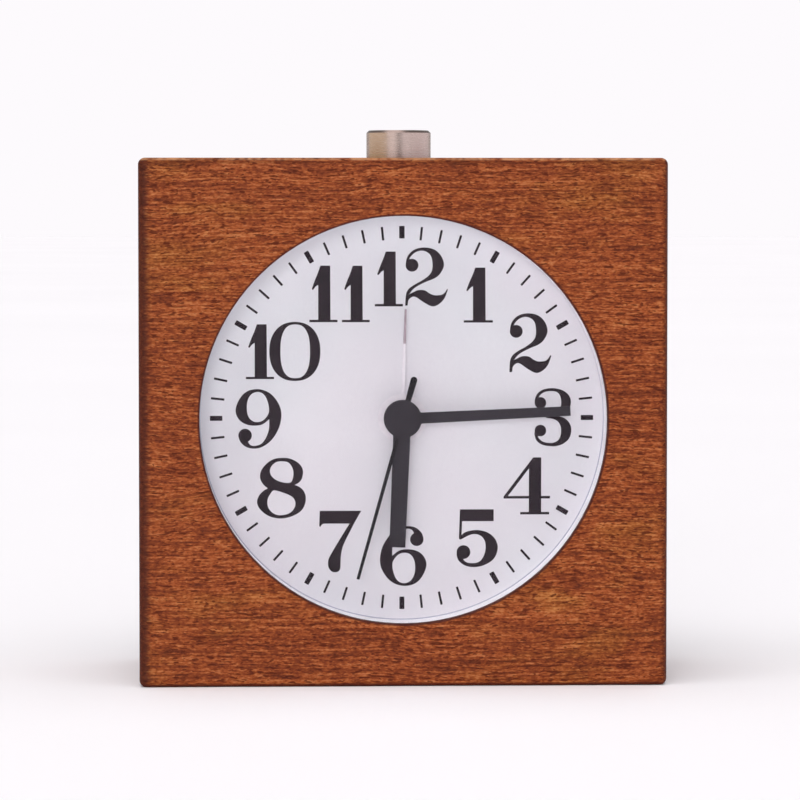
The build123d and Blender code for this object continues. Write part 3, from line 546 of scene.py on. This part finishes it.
def printed(name, areas, thick):
    """Flat print on the dial. areas is a list of (outline, holes, thickness over the first one), mm from the dial axis."""
    verts, faces = [], []
    for outline, holes, extra in areas:
        loops = [outline] + holes
        y0, y1 = DIAL_FACE_Y, DIAL_FACE_Y - thick - extra
        flat = [(x, z) for loop in loops for x, z in loop]
        tris = tessellate_polygon([[Vector((x, z, 0.0)) for x, z in loop] for loop in loops])
        base = len(verts)
        verts += [(x * MM, y1 * MM, (DIAL_Z + z) * MM) for x, z in flat]
        back = len(verts)
        verts += [(x * MM, y0 * MM, (DIAL_Z + z) * MM) for x, z in flat]
        for a, b, c in tris:
            pa, pb, pc = flat[a], flat[b], flat[c]
            area = (pb[0] - pa[0]) * (pc[1] - pa[1]) - (pc[0] - pa[0]) * (pb[1] - pa[1])
            if abs(area) < 1e-9:
                continue
            # seen from the front (-Y), x to the right and z up, a face with normal -Y runs counter-clockwise
            faces.append((base + a, base + b, base + c) if area > 0 else (base + a, base + c, base + b))
        at = 0
        for k, loop in enumerate(loops):
            n = len(loop)
            turn = sum(loop[i][0] * loop[(i + 1) % n][1] - loop[(i + 1) % n][0] * loop[i][1] for i in range(n))
            out = (turn > 0) == (k == 0)
            for i in range(n):
                i2 = (i + 1) % n
                q = (base + at + i, back + at + i, back + at + i2, base + at + i2)
                faces.append(q if out else q[::-1])
            at += n
    me = bpy.data.meshes.new(name)
    me.from_pydata(verts, [], faces)
    me.update()
    me.materials.append(finishes["dial_ink"])
    o = bpy.data.objects.new(name, me)
    bpy.context.scene.collection.objects.link(o)
    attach(o, "case")
    return o


def disc(cx, cz, r, n=40):
    return [(cx + r * math.cos(2 * math.pi * k / n), cz + r * math.sin(2 * math.pi * k / n)) for k in range(n)]


def tick(minute, r_out, length, width, corner=0.06):
    """Radial bar with slightly rounded corners."""
    a = math.radians(90 - 6 * minute)
    ux, uz, vx, vz = math.cos(a), math.sin(a), -math.sin(a), math.cos(a)
    pts = []
    for r, w in ((r_out, -width / 2 + corner), (r_out - corner, -width / 2), (r_out - length + corner, -width / 2),
                 (r_out - length, -width / 2 + corner), (r_out - length, width / 2 - corner),
                 (r_out - length + corner, width / 2), (r_out - corner, width / 2), (r_out, width / 2 - corner)):
        pts.append((r * ux + w * vx, r * uz + w * vz))
    return pts


NUMERALS = {
    "1": [
        ([
            (11.92,24.38,1), (13.54,24.38,1), (13.59,15.83,1), (14.78,15.83,1), (14.78,15.48,1),
            (10.06,15.48,1), (10.06,15.83,1), (11.55,15.83,1), (11.55,21.39,1), (11.09,21.09), (10.65,20.56,1),
            (10.47,20.71,1), (11.02,22.14), (11.53,23.29)
        ], [
        ], []),
    ],
    "2": [
        ([
            (17.64,14.19), (17.91,15.49), (18.92,16.53), (20.45,16.91), (22.08,16.58), (23.19,15.54),
            (23.63,14.04), (23.0,12.62), (22.14,11.91), (20.88,11.38), (19.61,10.76), (18.76,10.15),
            (18.06,9.22,1), (18.84,9.62), (19.61,9.93), (20.63,9.88), (21.39,9.39), (22.14,9.09), (23.25,9.16),
            (23.79,9.5), (24.17,10.11,1), (24.26,10.03,1), (23.68,8.56), (22.83,7.67), (21.81,7.33),
            (20.55,7.94), (19.27,8.83), (18.68,8.91), (18.03,8.38), (17.87,7.47,1), (17.53,7.44,1),
            (17.65,9.25), (18.08,10.15), (19.01,10.85), (20.12,11.46), (21.21,12.27), (21.77,13.15),
            (21.86,14.47), (21.5,15.75), (20.37,16.43), (19.14,16.18), (18.32,15.42), (18.03,14.68,1)
        ], [
        ], [(18.59, 14.04, 1.04)]),
    ],
    "3": [
        ([
            (21.66,2.7), (22.07,3.84), (23.07,4.53), (24.54,4.74), (25.98,4.45), (27.03,3.73), (27.46,2.68),
            (27.22,1.54), (26.41,0.69), (25.33,0.23,1), (26.54,-0.2), (27.35,-1.14), (27.53,-2.19),
            (27.19,-3.35), (26.3,-4.19), (25.17,-4.58), (24.25,-4.61), (22.91,-4.38), (21.94,-3.66),
            (21.58,-2.45,1), (22.0,-2.62,1), (22.24,-3.37), (22.99,-3.99), (24.17,-4.19), (25.17,-3.96),
            (25.78,-3.27), (25.98,-2.19), (25.83,-1.23), (25.3,-0.49), (24.36,-0.1), (23.55,-0.03,1),
            (23.55,0.33,1), (24.52,0.49), (25.41,0.95), (25.9,1.8), (25.98,2.76), (25.74,3.71), (25.22,4.2),
            (24.47,4.37), (23.31,4.25), (22.47,3.73), (21.99,2.84,1)
        ], [
        ], [(22.55, 2.4, 0.94), (22.55, -2.11, 0.94)]),
    ],
    "4": [
        ([
            (21.4,-6.52,1), (22.66,-6.52,1), (22.66,-12.8,1), (24.1,-12.8,1), (24.1,-13.15,1), (22.66,-13.15,1),
            (22.66,-15.42,1), (23.96,-15.42,1), (23.96,-15.75,1), (19.3,-15.75,1), (19.3,-15.42,1),
            (20.71,-15.42,1), (20.71,-13.15,1), (16.6,-13.15,1), (16.6,-12.87,1)
        ], [
            [
                (20.71,-8.24,1), (20.71,-12.8,1), (17.22,-12.8,1)
            ],
        ], []),
    ],
    "5": [
        ([
            (9.49,-14.96,1), (14.91,-14.96,1), (14.91,-16.82,1), (9.77,-16.82,1), (9.7,-19.2,1), (10.17,-18.79),
            (10.96,-18.49), (12.13,-18.35), (13.07,-18.46), (13.92,-18.74), (14.65,-19.23), (15.23,-19.91),
            (15.52,-20.67), (15.57,-21.26), (15.38,-22.17), (14.91,-22.99), (14.15,-23.61), (13.13,-24.07),
            (12.39,-24.25), (11.63,-24.3), (10.69,-24.18), (9.88,-23.79), (9.24,-23.2), (8.91,-22.24,1),
            (9.83,-22.87,1), (10.09,-23.28), (10.54,-23.61), (11.19,-23.74), (12.05,-23.71), (12.71,-23.45),
            (13.21,-22.87), (13.57,-22.01), (13.7,-21.06), (13.6,-20.24), (13.28,-19.59), (12.71,-19.11),
            (12.05,-18.92), (11.4,-18.95), (10.61,-19.24), (9.96,-19.6), (9.48,-19.82,1), (9.33,-19.65,1)
        ], [
        ], [(10.03, -21.89, 1.12)]),
    ],
    "6": [
        ([
            (3.5,-19.52,1), (3.21,-18.77), (2.61,-18.13), (1.87,-17.76), (0.98,-17.64), (0.04,-17.76),
            (-0.93,-18.21), (-1.83,-18.95), (-2.58,-19.93), (-3.18,-21.09), (-3.47,-22.22), (-3.55,-23.27),
            (-3.4,-24.25), (-2.95,-25.23), (-2.32,-26.1), (-1.62,-26.72), (-0.85,-27.11), (0.09,-27.34),
            (1.12,-27.31), (2.01,-27.03), (2.79,-26.47), (3.47,-25.51), (3.87,-24.54), (3.98,-23.81),
            (3.81,-23.05), (3.35,-22.33), (2.72,-21.84), (1.87,-21.52), (0.98,-21.42), (0.12,-21.47),
            (-0.4,-21.62), (-0.95,-21.96), (-1.58,-22.48,1), (-1.59,-21.42), (-1.41,-20.27), (-0.85,-19.05),
            (-0.12,-18.3), (0.98,-18.02), (1.66,-18.25), (2.08,-18.97,1)
        ], [
            [
                (-1.54,-23.64), (-1.25,-22.96), (-0.69,-22.32), (0.01,-21.99), (0.95,-22.01), (1.66,-22.5),
                (2.04,-23.27), (2.17,-24.13), (2.13,-25.11), (1.83,-26.0), (1.24,-26.68), (0.33,-26.95),
                (-0.51,-26.68), (-1.06,-26.03), (-1.4,-25.11), (-1.54,-24.4)
            ],
        ], [(2.43, -19.78, 1.09)]),
    ],
    "7": [
        ([
            (-13.36,-15.09,1), (-6.65,-15.09,1), (-6.68,-15.3,1), (-6.88,-15.55,1), (-7.72,-17.05,1),
            (-8.48,-18.53), (-9.14,-19.83), (-9.59,-20.86), (-9.83,-21.81), (-9.95,-22.79), (-9.98,-23.71),
            (-10.03,-24.46), (-10.33,-24.95), (-10.92,-25.11), (-11.5,-24.92), (-11.92,-24.33), (-12.02,-23.61),
            (-11.92,-22.92), (-11.45,-22.01), (-10.84,-20.96), (-10.16,-19.83), (-8.52,-17.17,1),
            (-12.82,-17.17,1), (-13.08,-17.43), (-13.26,-17.71,1), (-13.44,-17.61,1)
        ], [
        ], []),
    ],
    "8": [
        ([
            (-19.48,-6.49), (-20.52,-6.59), (-21.45,-7.01), (-22.28,-7.72), (-22.84,-8.57), (-23.02,-9.34),
            (-22.89,-10.09), (-22.44,-10.81), (-21.74,-11.4,1), (-22.5,-11.85), (-23.17,-12.57),
            (-23.51,-13.59), (-23.21,-14.52), (-22.47,-15.34), (-21.55,-15.91), (-20.6,-16.2), (-19.58,-16.29),
            (-18.37,-16.09), (-17.25,-15.65), (-16.36,-15.01), (-15.85,-14.18), (-15.65,-13.28),
            (-15.73,-12.41), (-16.14,-11.66), (-16.77,-11.15), (-17.51,-10.86,1), (-16.93,-10.58),
            (-16.38,-10.02), (-16.12,-9.16), (-16.1,-8.55), (-16.36,-7.85), (-16.98,-7.19), (-17.82,-6.74),
            (-18.59,-6.52)
        ], [
            [
                (-19.48,-6.98), (-20.37,-7.1), (-21.08,-7.62), (-21.45,-8.37), (-21.4,-9.03), (-21.03,-9.61),
                (-20.34,-10.12), (-19.32,-10.48), (-18.41,-10.56), (-17.95,-10.37), (-17.72,-9.88),
                (-17.59,-9.16), (-17.66,-8.37), (-17.99,-7.67), (-18.56,-7.13)
            ],
            [
                (-20.97,-11.76), (-21.4,-12.31), (-21.78,-12.98), (-21.89,-13.73), (-21.74,-14.52),
                (-21.26,-15.21), (-20.6,-15.65), (-19.77,-15.81), (-18.62,-15.63), (-17.85,-15.16),
                (-17.4,-14.49), (-17.28,-13.77), (-17.54,-13.06), (-18.22,-12.52), (-19.32,-12.08),
                (-20.32,-11.77)
            ],
        ], []),
    ],
    "9": [
        ([
            (-26.49,-3.05,1), (-26.2,-3.79), (-25.62,-4.42), (-24.89,-4.79), (-24.02,-4.91), (-23.1,-4.79),
            (-22.16,-4.34), (-21.27,-3.61), (-20.54,-2.64), (-19.96,-1.5), (-19.67,-0.38), (-19.59,0.65),
            (-19.74,1.62), (-20.18,2.59), (-20.8,3.45), (-21.48,4.06), (-22.24,4.45), (-23.15,4.68),
            (-24.16,4.64), (-25.03,4.37), (-25.79,3.82), (-26.46,2.87), (-26.85,1.91), (-26.96,1.19),
            (-26.79,0.44), (-26.35,-0.27), (-25.73,-0.75), (-24.89,-1.08), (-24.02,-1.17), (-23.18,-1.12),
            (-22.68,-0.98), (-22.14,-0.64), (-21.52,-0.12,1), (-21.51,-1.17), (-21.68,-2.3), (-22.24,-3.52),
            (-22.95,-4.26), (-24.02,-4.53), (-24.69,-4.31), (-25.1,-3.6,1)
        ], [
            [
                (-21.56,1.02), (-21.84,0.35), (-22.39,-0.28), (-23.07,-0.61), (-23.99,-0.59), (-24.69,-0.11),
                (-25.07,0.65), (-25.19,1.51), (-25.14,2.48), (-24.86,3.35), (-24.28,4.03), (-23.39,4.29),
                (-22.57,4.03), (-22.03,3.38), (-21.7,2.48), (-21.56,1.77)
            ],
        ], [(-25.45, -2.79, 1.09)]),
    ],
    "10": [
        ([
            (-23.51,15.22,1), (-21.95,15.22,1), (-21.9,6.7,1), (-20.76,6.7,1), (-20.76,6.36,1), (-25.3,6.36,1),
            (-25.3,6.7,1), (-23.87,6.7,1), (-23.87,12.24,1), (-24.31,11.95), (-24.73,11.42,1), (-24.91,11.57,1),
            (-24.37,12.99), (-23.88,14.14)
        ], [
        ], []),
        ([
            (-13.24,10.82), (-13.37,9.39), (-13.74,8.25), (-14.34,7.32), (-15.14,6.62), (-16.12,6.19),
            (-17.36,6.05), (-18.6,6.19), (-19.59,6.62), (-20.39,7.32), (-20.99,8.25), (-21.36,9.39),
            (-21.49,10.82), (-21.36,12.26), (-20.99,13.4), (-20.39,14.33), (-19.59,15.03), (-18.6,15.45),
            (-17.36,15.6), (-16.12,15.45), (-15.14,15.03), (-14.34,14.33), (-13.74,13.4), (-13.37,12.26)
        ], [
            [
                (-14.89,10.85), (-14.96,9.37), (-15.15,8.34), (-15.48,7.53), (-15.92,6.95), (-16.49,6.59),
                (-17.31,6.47), (-18.13,6.59), (-18.7,6.95), (-19.14,7.53), (-19.46,8.34), (-19.66,9.37),
                (-19.72,10.85), (-19.66,12.33), (-19.46,13.36), (-19.14,14.16), (-18.7,14.75), (-18.13,15.1),
                (-17.31,15.22), (-16.49,15.1), (-15.92,14.75), (-15.48,14.16), (-15.15,13.36), (-14.96,12.33)
            ],
        ], []),
    ],
    "11": [
        ([
            (-13.2,24.72,1), (-11.65,24.72,1), (-11.6,15.94,1), (-10.46,15.94,1), (-10.46,15.58,1),
            (-14.99,15.58,1), (-14.99,15.94,1), (-13.56,15.94,1), (-13.56,21.65,1), (-14.0,21.34),
            (-14.42,20.8,1), (-14.6,20.95,1), (-14.06,22.42), (-13.58,23.61)
        ], [
        ], []),
        ([
            (-7.96,24.69,1), (-6.42,24.69,1), (-6.37,15.92,1), (-5.24,15.92,1), (-5.24,15.57,1),
            (-9.72,15.57,1), (-9.72,15.92,1), (-8.31,15.92,1), (-8.31,21.62,1), (-8.74,21.32), (-9.16,20.78,1),
            (-9.34,20.93,1), (-8.81,22.4), (-8.32,23.58)
        ], [
        ], []),
    ],
    "12": [
        ([
            (-2.59,26.98,1), (-1.04,26.98,1), (-0.99,18.48,1), (0.14,18.48,1), (0.14,18.13,1), (-4.37,18.13,1),
            (-4.37,18.48,1), (-2.95,18.48,1), (-2.95,24.0,1), (-3.39,23.71), (-3.81,23.19,1), (-3.98,23.33,1),
            (-3.45,24.75), (-2.97,25.9)
        ], [
        ], []),
        ([
            (0.67,24.93), (0.95,26.23), (1.98,27.26), (3.55,27.63), (5.21,27.31), (6.34,26.28), (6.8,24.79),
            (6.15,23.38), (5.28,22.68), (3.98,22.16), (2.69,21.53), (1.82,20.93), (1.11,20.01,1), (1.9,20.41),
            (2.69,20.72), (3.72,20.67), (4.5,20.18), (5.28,19.88), (6.41,19.95), (6.96,20.29), (7.34,20.9,1),
            (7.44,20.81,1), (6.84,19.36), (5.97,18.48), (4.94,18.13), (3.64,18.74), (2.34,19.62), (1.74,19.7),
            (1.07,19.18), (0.91,18.28,1), (0.56,18.25,1), (0.69,20.05), (1.12,20.93), (2.08,21.63),
            (3.21,22.24), (4.32,23.04), (4.89,23.9), (4.99,25.21), (4.61,26.49), (3.47,27.16), (2.21,26.91),
            (1.37,26.16), (1.07,25.43,1)
        ], [
        ], [(1.64, 24.79, 1.04)]),
    ],
}

INK_GAIN = {"2": 0.06, "3": 0.06, "4": 0.05, "5": 0.05, "7": 0.0, "10": 0.015, "1": 0.015, "6": 0.02, "11": 0.02}
for numeral, strokes in NUMERALS.items():
    areas = []
    for outline, holes, balls in strokes:
        gain = INK_GAIN.get(numeral, 0.03)
        areas.append((spread(smooth(outline), gain), [spread(smooth(h), -gain) for h in holes], 0.0))
        areas += [(disc(x, z, r), [], 0.001) for x, z, r in balls]
    printed("numeral_" + numeral, areas, 0.02)

printed("minute_track", [(tick(m, 31.15, 2.2, 0.37), [], 0.0) for m in range(60) if m % 5], 0.02)
printed("hour_marks", [(tick(m, 31.15, 2.03, 0.88 if m == 0 else 0.81), [], 0.0) for m in range(0, 60, 5)], 0.02)

# soft light passes the lens as lamp light does, so that the dial is lit once
nodes["lens"].visible_diffuse = False


# ---------------------------------------------------------------- floor, light, camera
def floor_material():
    p = Mat("pale_studio_floor", rough=0.75)
    p.b.inputs["Specular IOR Level"].default_value = 0.15
    n = p.noise(p.scale(p.obj, 3, 3, 3), detail=2.0)
    p.colour(p.ramp(n, [(0.3, FLOOR_A), (0.7, FLOOR_B)]))
    return p.m


FLOOR_A = (0.945, 0.925, 0.945, 1.0)
FLOOR_B = (0.965, 0.945, 0.965, 1.0)
me = bpy.data.meshes.new("studio_floor")
R, N = 9.0, 96
ring_pts = [(R * math.cos(2 * math.pi * k / N), R * math.sin(2 * math.pi * k / N), 0.0) for k in range(N)]
me.from_pydata([(0.0, 0.0, 0.0)] + ring_pts, [], [(0, 1 + k, 1 + (k + 1) % N) for k in range(N)])
me.materials.append(floor_material())
floor = bpy.data.objects.new("studio_floor", me)
bpy.context.scene.collection.objects.link(floor)

world = bpy.data.worlds.new("studio")
bpy.context.scene.world = world
world.use_nodes = True
wn = world.node_tree
wn.nodes.clear()
w_out = wn.nodes.new("ShaderNodeOutputWorld")
seen = wn.nodes.new("ShaderNodeBackground")
seen.inputs["Color"].default_value = (0.982, 0.956, 0.982, 1.0)
light = wn.nodes.new("ShaderNodeBackground")
light.inputs["Color"].default_value = (1.0, 0.99, 1.0, 1.0)
light.inputs["Strength"].default_value = 0.42
w_path = wn.nodes.new("ShaderNodeLightPath")
w_mix = wn.nodes.new("ShaderNodeMixShader")
wn.links.new(w_path.outputs["Is Camera Ray"], w_mix.inputs[0])
wn.links.new(light.outputs[0], w_mix.inputs[1])
wn.links.new(seen.outputs[0], w_mix.inputs[2])
wn.links.new(w_mix.outputs[0], w_out.inputs["Surface"])


def panel(name, towards, strength, softness, seen_in_gloss=True):
    """A very large, far soft panel: the same light all over the floor."""
    d = bpy.data.lights.new(name, "SUN")
    d.energy = strength
    d.angle = math.radians(softness)
    d.color = (1.0, 0.99, 1.0)
    o = bpy.data.objects.new(name, d)
    o.rotation_euler = Vector(towards).to_track_quat("-Z", "Y").to_euler()
    o.visible_glossy = seen_in_gloss
    bpy.context.scene.collection.objects.link(o)
    return o


def card(name, centre, normal, size, tone, strength=1.0):
    """A card that only shows up in glossy reflections: it shapes the metal and lights nothing."""
    q = Vector(normal).to_track_quat("Z", "Y")
    w, h = size[0] / 2, size[1] / 2
    pts = [Vector(centre) + q @ Vector(p) for p in ((-w, -h, 0), (w, -h, 0), (w, h, 0), (-w, h, 0))]
    me = bpy.data.meshes.new(name)
    me.from_pydata([tuple(p) for p in pts], [], [(0, 1, 2, 3)])
    c = Mat(name + "_paper", rough=0.9)
    c.colour((0.0, 0.0, 0.0, 1.0))
    c.b.inputs["Emission Strength"].default_value = strength
    n = c.noise(c.scale(c.obj, 3, 3, 3), detail=2.0)
    c.set(c.b.inputs["Emission Color"], c.ramp(n, [(0.3, tuple(v * 0.93 for v in tone[:3]) + (1.0,)), (0.7, tone)]))
    me.materials.append(c.m)
    o = bpy.data.objects.new(name, me)
    bpy.context.scene.collection.objects.link(o)
    o.visible_camera = False
    o.visible_diffuse = False
    o.visible_shadow = False
    o.visible_transmission = False
    return o


def group(name, objects):
    c = bpy.data.collections.new(name)
    for o in objects:
        c.objects.link(o)
    return c


# the hands draw no hard shadow on the dial
meshes = [o for o in bpy.data.objects if o.type == "MESH"]
casters = group("casters", [o for o in meshes if "hand" not in o.name])
lit = group("lit_by_sky_panel", [o for o in meshes if o != floor])
sky = panel("sky_panel", (0.22, 0.20, -0.955), 1.1, 50)
sky.light_linking.receiver_collection = lit
front = panel("front_panel", (0.14, 0.98, -0.14), 1.15, 24, seen_in_gloss=False)
for lamp in (sky, front):
    lamp.light_linking.blocker_collection = casters
# these light only the floor: they draw the soft shadow out behind, to both sides, and under the front edge
only = group("lit_by_floor_panels", [floor])
for name, towards, strength, softness in (("floor_left", (-0.20, 0.38, -0.90), 0.51, 40),
                                          ("floor_right", (0.26, 0.38, -0.89), 0.85, 40),
                                          ("floor_back", (0.02, 0.78, -0.62), 0.34, 34),
                                          ("floor_rear", (0.0, -0.20, -0.98), 0.48, 36)):
    lamp = panel(name, towards, strength, softness, seen_in_gloss=False)
    lamp.light_linking.receiver_collection = only
# lifts the white inner wall of the dial
lamp = panel("wall_panel", (0.45, 0.50, -0.74), 0.5, 30, seen_in_gloss=False)
lamp.light_linking.receiver_collection = group("lit_by_wall_panel", [nodes["dial_ring"]])
# behind the camera, above the line the lens reflects: a dark card with a bright one beside it
card("dark_card", (0.03, -0.72, 0.42), (0, 1, 0), (0.14, 0.66), (0.03, 0.025, 0.03, 1.0))
card("bright_card", (-0.38, -0.71, 0.42), (0, 1, 0), (0.46, 0.66), (1.0, 0.95, 0.97, 1.0), 1.05)
card("warm_card", (-0.66, -0.02, 0.42), (1, 0, 0), (1.3, 0.66), (0.70, 0.58, 0.37, 1.0))
card("right_card", (0.38, -0.71, 0.42), (0, 1, 0), (0.50, 0.66), (0.86, 0.84, 0.92, 1.0))
card("side_card", (0.66, -0.02, 0.42), (-1, 0, 0), (1.3, 0.66), (0.84, 0.82, 0.90, 1.0))

cam_data = bpy.data.cameras.new("camera")
cam_data.sensor_width = 36.0
cam_data.lens = 3998.0 / 800.0 * 36.0
cam_data.clip_start, cam_data.clip_end = 0.01, 50.0
cam = bpy.data.objects.new("camera", cam_data)
bpy.context.scene.collection.objects.link(cam)
cam.location = (-0.0273, -0.661, 0.0775)
yaw, pitch = math.radians(2.386), math.radians(2.798)
look = Vector((math.sin(yaw) * math.cos(pitch), math.cos(yaw) * math.cos(pitch), -math.sin(pitch)))
cam.rotation_euler = look.to_track_quat("-Z", "Y").to_euler()
bpy.context.scene.camera = cam
bpy.context.scene.view_settings.view_transform = "Standard"
